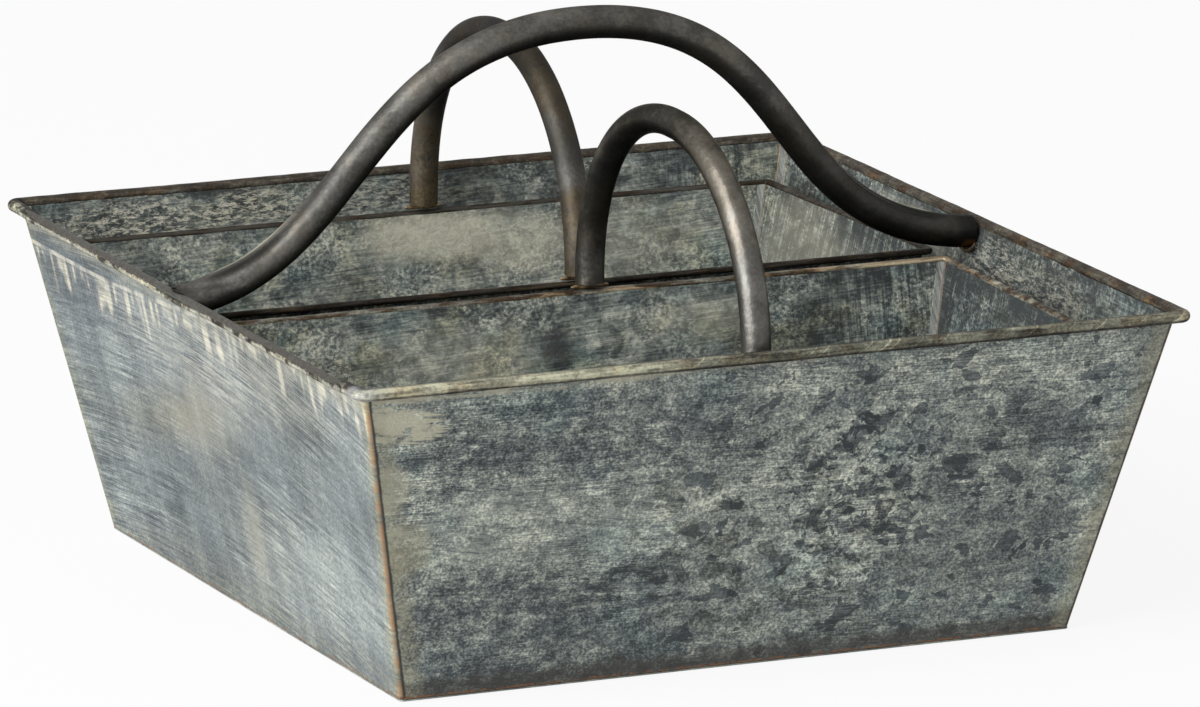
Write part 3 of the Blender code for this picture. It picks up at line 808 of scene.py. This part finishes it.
RIM_SHADES = (
    (0.00, (0.012, 0.011, 0.01)),
    (0.30, (0.045, 0.04, 0.033)),
    (0.55, (0.12, 0.115, 0.095)),
    (0.80, (0.27, 0.255, 0.20)),
    (1.00, (0.48, 0.455, 0.35)),
)
BROWN_TINGE = (1.0, 0.72, 0.50)
RIM_EDGE = (0.32, 0.32, 0.27, 1)
coat = Finish("basket_rim_patina", "X", seed=21, tone=0.40)
feed(coat.shader, {"Specular Tint": RIM_EDGE})
fleck = coat.speckle(1.3, 5, 0.7).between(0.34, 0.66)
lumps = coat.speckle(9, 7, 0.65).between(0.36, 0.64)
long_spot = coat.point(coat.x, coat.y, coat.v * 14)
streaks = coat.speckle(22, 5, 0.65, shift=1, spot=long_spot).between(0.36, 0.64)
coat.tint(lumps - 0.5, 0.22)
coat.tint(streaks - 0.5, 0.26)
coat.tint(fleck - 0.5, 0.22)
front_side = coat.y.between(-168, -171)
back_side = coat.y.between(168, 171)
left_side = coat.x.between(-168, -171)
right_side = coat.x.between(168, 171)
facing = coat.facing
inward = (left_side - right_side) * facing[0] + (front_side - back_side) * facing[1]
nearer = left_side + front_side
# painted shadow along the inner edge of the roll on the near sides
coat.tint((inward + fleck * 0.2).between(-0.24, 0.04) * nearer, -0.30)
# painted shade on the underside of the roll
coat.tint(facing[2].between(-0.30, -0.65), -0.40)
leftward = (coat.x + lumps * 40).between(20, -50)
coat.tint(front_side, 0.12)
coat.tint(left_side, -0.06)
coat.stain(front_side, (0.93, 0.97, 0.92))
coat.tint(front_side * leftward, 0.34)
stained = coat.speckle(24, 5, 0.65, shift=4, spot=long_spot).between(0.54, 0.62)
coat.tint(stained * front_side, -0.22)
scratch_spot = coat.point(coat.x - coat.v * 1.6, coat.v * 0.05, 0)
scratch = abs(coat.speckle(15, 2, shift=2, spot=scratch_spot) - 0.5).between(0.012, 0)
coat.tint(scratch * front_side * (1 - leftward), 0.30)
crusted = (lumps * 0.9 - facing[2]).between(0.0, 0.35)
patchy = coat.speckle(13, 5, 0.65, shift=5).between(0.42, 0.54)
coat.tint(left_side * crusted * patchy, 0.42)
pale = left_side * patchy * (facing[2] + lumps * 0.5).between(0.55, 0.15)
coat.tint(left_side * (1 - patchy), -0.10)
coat.tint(back_side, -0.21)
coat.tint(right_side, -0.16)
coat.stain((back_side + right_side) * 0.5, (1.0, 0.84, 0.66))
brown = coat.speckle(16, 6, 0.65, shift=3).between(0.48, 0.58)
cooler = (front_side + back_side + left_side) * 0.7
coat.stain(brown * (1 - cooler), BROWN_TINGE)
flaked = coat.speckle(6, 8, 0.75, shift=6).between(0.50, 0.58)
coat.tint(left_side * (flaked - 0.4), 0.34)
coat.stain(left_side, (0.97, 1.00, 0.93))
rusty = left_side * abs(inward + 0.40).between(0.22, 0.08) * abs(coat.y - 5).between(60, 25)
coat.wash(pale * (fleck * 0.5 + 0.25), (0.42, 0.41, 0.35))
coat.wash(rusty * lumps * 0.8, (0.15, 0.085, 0.045))
# painted highlight: a pale blue-grey glint on the roll at the front left corner
corner = coat.x.between(-163, -170) * coat.y.between(-160, -169)
coat.wash(corner * lumps * 0.7, (0.30, 0.30, 0.33))
rim_patina = coat.coat(RIM_SHADES, (0.58, 0.40), 0.40, fleck * 0.06 + lumps * 0.16)

basket_rim = rim("basket_rim", "basket_rim_roll", radius=2.4 * MM, roll_sheet=0.6 * MM, lip=3.4 * MM,
                 corner_radius=3.0 * MM, tops=(128.5 * MM, 128.5 * MM), seed=1, slim=left_slim)
dress(basket_rim, "basket", "basket_rim_roll", "rolled_rim", rim_patina)


def box_rim_patina(name, seed, tone, tan, middle):
    """Dark rolled edge with a worn line on top; tan is how much of it is browned or pale.

    middle is how much lighter or darker it is along the middle of the basket.
    """
    coat = Finish(name, "X", seed, tone)
    feed(coat.shader, {"Specular Tint": RIM_EDGE})
    fleck = coat.speckle(1.2, 5, 0.7).between(0.34, 0.66)
    long_spot = coat.point(coat.x * 0.35, coat.y, coat.v * 3)
    lumps = coat.speckle(6, 7, 0.65, spot=long_spot).between(0.38, 0.62)
    coat.tint(lumps - 0.5, 0.20 + 0.20 * tan)
    coat.tint(fleck - 0.5, 0.12 + 0.12 * tan)
    worn = coat.speckle(11, 7, 0.7, shift=3, spot=long_spot).between(0.50, 0.60)
    coat.tint(worn, 0.30 * tan)
    inner_side = abs(coat.y).between(60, 40)
    coat.tint(inner_side, middle)
    coat.stain(lumps.between(0.8, 0.1), BROWN_TINGE)
    coat.wash(worn * inner_side * (tan * 0.55), (0.33, 0.24, 0.14))
    return coat.coat(RIM_SHADES, (0.55, 0.38), 0.45, fleck, 0.05)


for box, tops, seed, looks in (
        ("front_box", (114.3 * MM, 117.2 * MM), 2, {"seed": 22, "tone": 0.34, "tan": 1.0, "middle": 0.08}),
        ("back_box", (117.2 * MM, 114.3 * MM), 3, {"seed": 23, "tone": 0.15, "tan": 0.2, "middle": -0.08})):
    piece = rim(box + "_rim", box + "_rim_roll", radius=1.3 * MM, roll_sheet=0.4 * MM, lip=2.2 * MM,
                corner_radius=2.5 * MM, tops=tops, seed=seed)
    dress(piece, box, box + "_rim_roll", "rolled_rim", box_rim_patina(box + "_rim_patina", **looks))

# Wires inside the rims
# Round steel wire that stiffens each rolled edge, closed in by the roll, bare and slightly rusty.
coat = Finish("wire_steel", "X", seed=23, tone=0.35)
coat.tint(coat.speckle(2, 5, 0.7) - 0.5, 0.5)
wire_steel = coat.coat(RIM_SHADES, (0.55, 0.40), 0.8)
for node in ("basket_rim_wire", "front_box_rim_wire", "back_box_rim_wire"):
    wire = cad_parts[node].data
    wire.materials.clear()
    wire.materials.append(wire_steel)

# Main handle
# One steel tube, bent by hand into an arch and welded to the end walls just under the rim.
# The tight lower bends have creased its upper side into a ridge; the ends are cut square.
MAIN_RADIUS = 6.5 * MM
MAIN_WALL = 1.2 * MM
MAIN_WAVE = 0.012
MAIN_WAVE_SIZE = 18 * MM
LEFT_SLOPE, RIGHT_SLOPE = 0.157, 0.065
LEFT_FOOT_Z, RIGHT_FOOT_Z = 126.9 * MM, 125.7 * MM
CREST_X = -4.1 * MM
LEFT_LEVERS, RIGHT_LEVERS = (0.424, 0.562), (0.552, 0.591)
TUBE_STEPS = 56
HANDLE_STATIONS = 90
CREASE_SHARE = 0.13
CREASE_TURN = radians(104)
CREASE_SHARPNESS = 26
CREASE_EDGE_TURN = radians(4)
CREASE_EDGE_SHARPNESS = 40
GROOVE_SHARE = 0.10
GROOVE_TURN = radians(74)
GROOVE_SHARPNESS = 9
CREASE_WAVE = 22 * MM
LAP_REACH = 14 * MM
LAP_START, LAP_FULL = 126 * MM, 130.5 * MM
LAP = (-3.4 * MM, 0, -1.4 * MM)
TONGUE_REACH = 26 * MM
TONGUE_START, TONGUE_FULL = 131.6 * MM, 133.6 * MM
TONGUE = (-1.5 * MM, 5.0 * MM, -1.6 * MM)
CREASE_START, CREASE_END = 0.26, 0.42

low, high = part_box("main_handle_tube")
left_foot = Vector((low.x + MAIN_RADIUS * sin(atan(LEFT_SLOPE)), 0, LEFT_FOOT_Z))
right_foot = Vector((high.x - MAIN_RADIUS * sin(atan(RIGHT_SLOPE)), 0, RIGHT_FOOT_Z))
crest = Vector((CREST_X, 0, high.z - MAIN_RADIUS))
half_span = (right_foot.x - left_foot.x) / 2


def arch_side(foot, side, slope, levers):
    """Four guide points of the arch, from a foot to the crest."""
    inward = Vector((-side, 0, slope)).normalized() * half_span
    level = Vector((side * half_span, 0, 0))
    return [foot, foot + inward * levers[0], crest + level * levers[1], crest]


def on_curve(guides, share):
    """A spot on the curve that four guide points give."""
    a, b, c, d = guides
    rest = 1 - share
    return a * rest ** 3 + b * 3 * rest ** 2 * share + c * 3 * rest * share ** 2 + d * share ** 3


left_side = arch_side(left_foot, -1, LEFT_SLOPE, LEFT_LEVERS)
right_side = arch_side(right_foot, 1, RIGHT_SLOPE, RIGHT_LEVERS)
arch = [on_curve(left_side, i / HANDLE_STATIONS) for i in range(HANDLE_STATIONS + 1)]
arch += [on_curve(right_side, 1 - i / HANDLE_STATIONS) for i in range(1, HANDLE_STATIONS + 1)]


crease_highlight_and_shade = {}


def arch_section(index):
    """The tube's outline at a station, creased on top towards the feet; notes the painted highlight
    on the crease's edge and the painted shade in its groove.
    """
    share = abs(index / (len(arch) - 1) - 0.5) * 2
    pinch = blend(1 - CREASE_END, 1 - CREASE_START, share)
    pinch *= 0.8 + 0.6 * noise.noise(arch[index] / CREASE_WAVE)
    pinch *= 1 - 0.75 * blend(0.90, 0.96, share)
    points, crease_highlight_and_shade[index] = [], []
    for step in range(TUBE_STEPS):
        turn = 2 * pi * step / TUBE_STEPS
        peak = max(0, cos(turn - CREASE_TURN)) ** CREASE_SHARPNESS
        groove = max(0, cos(turn - GROOVE_TURN)) ** GROOVE_SHARPNESS
        spot = arch[index] + Vector((turn * MAIN_RADIUS, 0, 0))
        uneven = 1 + MAIN_WAVE * noise.noise(spot / MAIN_WAVE_SIZE)
        reach = uneven + pinch * (CREASE_SHARE * peak - GROOVE_SHARE * groove)
        edge = max(0, cos(turn - CREASE_TURN + CREASE_EDGE_TURN)) ** CREASE_EDGE_SHARPNESS
        crease_highlight_and_shade[index].append(pinch * (edge - groove))
        points.append((MAIN_RADIUS * reach * cos(turn), MAIN_RADIUS * reach * sin(turn)))
    return points


def tube(name, path, section, side, wall, capped=()):
    """A hollow tube that is bent in the plane square to its side; its ends are open unless capped."""
    piece = swept(name, path, section, lambda along: Vector(side), closed=False, capped=capped)
    thicken(piece, wall, radians(50))
    return piece


STEEL_SHADES = (
    (0.00, (0.01, 0.01, 0.01)),
    (0.35, (0.026, 0.0255, 0.025)),
    (0.65, (0.055, 0.054, 0.053)),
    (1.00, (0.16, 0.156, 0.152)),
)
STEEL_EDGE = (0.30, 0.30, 0.28, 1)


def handle_steel(name, seed, tone, browned, burnt, held, rough, metallic, shaded):
    """Dark gunmetal tube: satin and a little streaked along its length, browned in places.

    burnt is the height up to which the brazing has turned it brown and gold, and held how much
    painted shade darkens its top. The crease gets a painted highlight on its edge and painted shade
    in its groove, and the underside gets painted shade. shaded paints shade over one end: the axis,
    from one place to another along it, and how much.
    """
    coat = Finish(name, "X", seed, tone)
    fleck = coat.speckle(1.5, 5, 0.7)
    cloud = coat.speckle(20, 5, 0.6)
    coat.tint(cloud.between(0.35, 0.65) - 0.5, 0.20)
    coat.tint(fleck.between(0.3, 0.7) - 0.5, 0.12)
    coat.stain(1.0, (0.98, 0.97, 0.91))
    spots = coat.speckle(3.2, 6, 0.7, shift=2).between(0.60, 0.68)
    coat.tint(spots, 0.10)
    crease = coat.add("Attribute", {}, "Fac", attribute_name="crease")
    # painted shade in the groove beside the crease
    coat.tint(crease.between(0, -1), -0.46)
    facing = coat.facing
    # painted shade: the tube is darker where it faces down
    coat.tint(facing[2].between(0.05, -0.65), -0.36)
    # painted shade over one end or one leg
    axis, start, stop, amount = shaded
    across = (coat.x, coat.y)[axis]
    coat.tint((across + fleck * 8).between(start, stop), -amount)
    # painted shade on the top, darkening the crest
    coat.tint(coat.v.between(180, 200), -held)
    # painted shade: the tube darkens towards its open right end
    coat.tint((coat.x + fleck * 6).between(161, 166), -0.34)
    brown = coat.speckle(28, 5, 0.62, shift=3).between(0.42, 0.62)
    coat.stain(brown * browned, (1.0, 0.83, 0.60))
    heat = (coat.v + fleck * 30).between(burnt + 15, burnt - 3)
    coat.wash(heat * fleck.between(0.35, 0.62) * 0.60, (0.11, 0.08, 0.04))
    end_rust = coat.x.between(154, 164) * facing[2].between(-0.2, -0.6)
    coat.wash(end_rust * cloud.between(0.40, 0.55), (0.18, 0.08, 0.025))
    # painted highlight along the crease's edge
    coat.wash(crease.between(0.12, 0.60) * 0.85, (0.40, 0.39, 0.31))
    feed(coat.shader, {"Specular Tint": STEEL_EDGE})
    return coat.coat(STEEL_SHADES, (rough + 0.02, rough + 0.12), metallic, fleck * 0.06 + cloud * 0.9)


main_handle = tube("main_handle", arch, arch_section, (0, -1, 0), MAIN_WALL, capped=("start",))
mark = main_handle.data.attributes.new("crease", "FLOAT", "POINT")
for item, value in zip(mark.data, (value for index in range(len(arch)) for value in crease_highlight_and_shade[index])):
    item.value = value
for vertex in main_handle.data.vertices:
    # the left end is hammered down over the rim, and its crease runs out on it as a tongue
    spot = vertex.co
    near = blend(low.x + LAP_REACH, low.x, spot.x)
    above = blend(LAP_START, LAP_FULL, spot.z)
    tongue = blend(TONGUE_START, TONGUE_FULL, spot.z)
    spread = tongue * blend(low.x + TONGUE_REACH, low.x, spot.x)
    spot += Vector(LAP) * above * near + Vector(TONGUE) * spread
dress(main_handle, "basket", "main_handle_tube", "handle_tube",
      handle_steel("main_handle_steel", 31, tone=0.75, browned=0.3, burnt=104, held=0, rough=0.38,
                   metallic=0.80, shaded=(0, 40, 150, 0.34)))

# Weld beads
# Small uneven runs of weld under the ends of the main handle, and of brass under the hoops.
BEAD_SECTION_STEPS = 12
BEAD_LUMP_SIZE = 1.6 * MM
BEAD_LUMP_SHARE = 0.24
WELD_GAP = 0.3 * MM


def bead(name, path, radius, seed):
    """A lumpy run of weld along a path, thin at both ends and closed."""
    shift = Vector((seed, seed * 2, 0))
    last = len(path) - 1

    def section(index):
        taper = radius * (0.25 + 0.75 * sqrt(max(0, sin(pi * (index + 0.3) / (last + 0.6)))))
        points = []
        for step in range(BEAD_SECTION_STEPS):
            turn = 2 * pi * step / BEAD_SECTION_STEPS
            here = path[index] + Vector((0, cos(turn), sin(turn))) * radius
            lump = 1 + BEAD_LUMP_SHARE * (noise.noise(here / BEAD_LUMP_SIZE + shift) - 0.5)
            points.append((taper * lump * cos(turn), taper * lump * sin(turn)))
        return points
    return swept(name, path, section, closed=False, capped=("start", "end"))


BRASS_SHADES = (
    (0.00, (0.022, 0.017, 0.01)),
    (0.45, (0.11, 0.072, 0.034)),
    (0.75, (0.30, 0.225, 0.115)),
    (1.00, (0.60, 0.54, 0.38)),
)


def lumpy_metal(name, seed, tone, size, uneven, rough, metallic):
    """Run and cooled metal, darker in its hollows; uneven is how much its tone changes."""
    coat = Finish(name, "X", seed, tone)
    lumps = coat.speckle(size, 5, 0.65)
    coat.tint(lumps - 0.5, uneven)
    return coat.coat(BRASS_SHADES, rough, metallic, lumps, 0.15)


brass = lumpy_metal("brass", 41, tone=0.50, size=2.2, uneven=1.3, rough=(0.60, 0.36), metallic=0.5)
rusty_weld = lumpy_metal("rusty_weld", 42, tone=0.14, size=2.0, uneven=1.1, rough=(0.65, 0.45), metallic=0.4)

MAIN_BEAD_ARC = radians(130)
MAIN_BEAD_RADIUS = 0.9 * MM
BEAD_STATIONS = 28


def main_bead(name, node, foot_z, side, seed):
    """The run of weld round the underside of a foot, against the wall's inner face."""
    low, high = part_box(node)
    around = MAIN_RADIUS + WELD_GAP + MAIN_BEAD_RADIUS
    path = []
    for step in range(BEAD_STATIONS + 1):
        turn = MAIN_BEAD_ARC * (step / BEAD_STATIONS - 1 / 2)
        z = foot_z - around * cos(turn)
        outer_x = max(abs(low.x), abs(high.x)) - MAIN_BEAD_RADIUS * 1.02
        x = side * (outer_x - (foot_z - around * cos(MAIN_BEAD_ARC / 2) - z) * FLARE)
        path.append(Vector((x, around * sin(turn), z)))
    return dress(bead(name, path, MAIN_BEAD_RADIUS, seed), "basket", node, "weld", rusty_weld)


main_bead("left_weld", "main_handle_left_weld", LEFT_FOOT_Z, -1, 1)
main_bead("right_weld", "main_handle_right_weld", RIGHT_FOOT_Z, 1, 2)

# The two lift-out boxes
# Each is folded from the same sheet in a lighter gauge: two flat long walls, two end walls with
# folded edges, and a flat floor. Inside they are dull and mottled, with pale patches.
BOX_TALL = 114
BOX_SHEET = 0.6 * MM
BOX_CELL = 2.6 * MM
BOX_FLOOR_CORNER = 1.5 * MM


def box_walls(box, side, seed):
    """The four walls and the floor of a box; side is -1 for the front box and 1 for the back one."""
    looks = {
        "front_box_middle_wall": {
            "cream": ((-60, 98, 40, 12, 0.35), (45, 104, 26, 8, 0.5)),
            "dark": ((-20, 96, 8, 10, 1.8), (96, 98, 16, 12, 0.9), (104, 80, 56, 60, 0.9)),
            "smear": (92, 112, 0.8), "tone": 0.51, "tan": 0.65},
        "front_box_right_end_wall": {"smear": (-200, -190, 0.8), "tone": 0.11},
        "back_box_outer_wall": {
            "cream": ((0, 106, 30, 12, 1.3), (38, 101, 26, 13, 0.9), (84, 96, 40, 18, 0.4)),
            "dark": ((62, 103, 7, 9, 1.0), (-45, 88, 26, 14, 0.6)), "tone": 0.51},
        "back_box_right_end_wall": {
            "cream": ((112, 92, 42, 30, 0.45), (60, 96, 40, 14, 0.2)),
            "smear": (-20, -10, 1.5), "tone": 0.17},
    }
    walls = (
        ("outer_wall", (0, side, 0), False), ("middle_wall", (0, -side, 0), False),
        ("left_end_wall", (-1, 0, 0), True), ("right_end_wall", (1, 0, 0), True),
    )
    for index, (part, outward, folded) in enumerate(walls):
        node = f"{box}_{part}"
        make, along = (end_wall, "Y") if folded else (flat_wall, "X")
        piece = make(node + "_sheet", node, outward, BOX_SHEET, BOX_CELL, dents(seed + index))
        outer = inside_zinc(node + "_outside", along, seed + index + 20, BOX_TALL)
        inner = inside_zinc(node + "_inside", along, seed + index, BOX_TALL, **looks.get(node, {}))
        dress(piece, box, node, "zinc_sheet", outer, inner)
    floor_sheet = bottom_sheet(box + "_floor", box + "_bottom", BOX_SHEET, BOX_FLOOR_CORNER, seed)
    dress(floor_sheet, box, box + "_bottom", "zinc_sheet",
          bottom_zinc(box + "_floor_zinc", seed + 8), bottom_zinc(box + "_underside_zinc", seed + 9))


box_walls("front_box", -1, 50)
box_walls("back_box", 1, 80)

# Handles of the boxes
# A hoop of thinner tube over each box: it stands on the two long rims and is brazed to them.
HOOP_RADIUS = 5.75 * MM
HOOP_WALL = 1.0 * MM
HOOP_STATIONS = 120
HOOP_FULLNESS = Vector((0, 2.2 * MM, 1.6 * MM))
HOOP_WAVE = 0.01
HOOP_WAVE_SIZE = 16 * MM
HOOP_BEAD_RADIUS = 1.15 * MM


def hoop(box, side, seed, raised, **steel):
    """A box's hoop handle and its two runs of brass.

    Its bend is a little fuller at the back than its drawing; raised lifts its crest, and steel says
    how its metal looks.
    """
    node = box + "_handle_tube"
    low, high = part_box(node)
    x = (low.x + high.x) / 2
    ends = (low.y + HOOP_RADIUS, high.y - HOOP_RADIUS)
    centre, half = (ends[0] + ends[1]) / 2, (ends[1] - ends[0]) / 2
    foot_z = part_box(box + "_middle_weld")[1].z + WELD_GAP
    rise = high.z - HOOP_RADIUS - foot_z + raised
    path = [Vector((x, centre + side * half, low.z))]
    for step in range(HOOP_STATIONS + 1):
        turn = pi * step / HOOP_STATIONS
        spot = Vector((x, centre + side * half * cos(turn), foot_z + rise * sin(turn)))
        path.append(spot + HOOP_FULLNESS * max(0, side * sin(2 * turn)))

    def section(index):
        points = []
        for step in range(TUBE_STEPS):
            turn = side * 2 * pi * step / TUBE_STEPS
            spot = path[index] + Vector((turn * HOOP_RADIUS, 0, 0))
            uneven = HOOP_RADIUS * (1 + HOOP_WAVE * noise.noise(spot / HOOP_WAVE_SIZE))
            points.append((side * uneven * cos(turn), uneven * sin(turn)))
        return points
    piece = tube(box + "_hoop", path, section, (side, 0, 0), HOOP_WALL)
    dress(piece, box, node, "handle_tube", handle_steel(box + "_hoop_steel", seed, **steel))
    for part in ("_outer_weld", "_middle_weld"):
        low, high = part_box(box + part)
        z, y = (low.z + high.z) / 2, (low.y + high.y) / 2
        run = [Vector((low.x + (high.x - low.x) * i / BEAD_STATIONS, y, z)) for i in range(BEAD_STATIONS + 1)]
        dress(bead(box + part + "_bead", run, HOOP_BEAD_RADIUS, seed), box, box + part, "weld", brass)


hoop("front_box", -1, 32, raised=-1.8 * MM, tone=0.82, browned=0.4, burnt=133, held=0.11, rough=0.28,
     metallic=0.88, shaded=(1, -112, -45, 0.06))
hoop("back_box", 1, 33, raised=0.8 * MM, tone=0.68, browned=1.0, burnt=160, held=0.34, rough=0.46,
     metallic=0.70, shaded=(1, 100, 50, 0.04))

# Studio
# A wide pale floor that runs to the horizon, one tall soft lamp at the left, and a soft sky.
FLOOR_REACH = 60
FLOOR_DROP = 0.2 * MM
FLOOR_GREY = (0.52, 0.52, 0.52, 1)
KEY_DIRECTION = Vector((-0.97, -0.28, 0))
KEY_DISTANCE = 2.6
KEY_WIDTH, KEY_HEIGHT = 2.4, 4.6
KEY_SUNK = 0.15
KEY_POWER = 300
SKY_BRIGHT_SIDE = Vector((-0.45, 0.10, 0.89))
SKY_DIM, SKY_BRIGHT = 0.23, 0.80
SKY_DIM_END = -0.25
WHITE_SHARE = 0.90


def backdrop_rays(tree):
    """1 for the rays that show the white backdrop: from the camera, off metal or through glass."""
    rays = tree.nodes.new("ShaderNodeLightPath").outputs
    seen = Layer(tree, rays["Is Camera Ray"])
    for kind in ("Is Glossy Ray", "Is Transmission Ray"):
        seen = add_node(tree, "Math", {0: seen, 1: Layer(tree, rays[kind])}, use_clamp=True)
    return seen


near, far = -FLOOR_REACH, FLOOR_REACH
floor = mesh_object("floor", [(near, near, 0), (far, near, 0), (far, far, 0), (near, far, 0)], [(0, 1, 2, 3)])
floor.location.z = -FLOOR_DROP
paper = bpy.data.materials.new("pale_floor")
paper.use_nodes = True
tree = paper.node_tree
matt = add_node(tree, "BsdfDiffuse", {"Color": FLOOR_GREY})
white = add_node(tree, "Emission", {})
mixed = add_node(tree, "MixShader", {0: backdrop_rays(tree) * WHITE_SHARE, 1: matt, 2: white})
feed(tree.nodes["Material Output"], {0: mixed})
floor.data.materials.append(paper)

world = bpy.data.worlds.new("soft_sky")
bpy.context.scene.world = world
world.use_nodes = True
tree = world.node_tree
inputs = {0: add_node(tree, "TexCoord", {}, "Generated"), 1: SKY_BRIGHT_SIDE.normalized()}
toward = add_node(tree, "VectorMath", inputs, "Value", operation="DOT_PRODUCT")
inputs = {"Value": toward, "From Min": SKY_DIM_END, "To Min": SKY_DIM, "To Max": SKY_BRIGHT}
glow = add_node(tree, "MapRange", inputs, interpolation_type="SMOOTHSTEP")
level = add_node(tree, "Mix", {0: backdrop_rays(tree), 2: glow, 3: 1.0}, data_type="FLOAT")
feed(tree.nodes["Background"], {"Strength": level, "Color": (1, 1, 1, 1)})

key = bpy.data.lights.new("key", "AREA")
key.shape = "RECTANGLE"
key.size = KEY_WIDTH
key.size_y = KEY_HEIGHT
key.energy = KEY_POWER
key_lamp = new_object("key", key)
key_lamp.location = KEY_DIRECTION.normalized() * KEY_DISTANCE + Vector((0, 0, KEY_HEIGHT / 2 - KEY_SUNK))
key_lamp.rotation_euler = KEY_DIRECTION.to_track_quat("Z", "Y").to_euler()

# Camera
# It stands to the left of the front, a little above the basket, with a long lens.
CAMERA_YAW = 0.4417
CAMERA_PITCH = 0.2361
CAMERA_ROLL = 0.0146
CAMERA_AIM = Vector((0.0487, 0.0801, 0.068))
CAMERA_DISTANCE = 4.1912
LENS = 313.6
SENSOR = 36.0
SHIFT_X, SHIFT_Y = -0.0094, 0.0006
CLIP_END = 200

ahead = Vector((sin(CAMERA_YAW) * cos(CAMERA_PITCH), cos(CAMERA_YAW) * cos(CAMERA_PITCH), -sin(CAMERA_PITCH)))
level_right = Vector((cos(CAMERA_YAW), -sin(CAMERA_YAW), 0))
level_up = level_right.cross(ahead)
right = level_right * cos(CAMERA_ROLL) + level_up * sin(CAMERA_ROLL)
up = level_up * cos(CAMERA_ROLL) - level_right * sin(CAMERA_ROLL)
camera_data = bpy.data.cameras.new("camera")
camera_data.lens = LENS
camera_data.sensor_width = SENSOR
camera_data.shift_x = SHIFT_X
camera_data.shift_y = SHIFT_Y
camera_data.clip_end = CLIP_END
camera = new_object("camera", camera_data)
turn = Matrix((right, up, -ahead)).transposed().to_4x4()
camera.matrix_world = Matrix.Translation(CAMERA_AIM - ahead * CAMERA_DISTANCE) @ turn
bpy.context.scene.camera = camera
bpy.context.scene.view_settings.view_transform = "Standard"
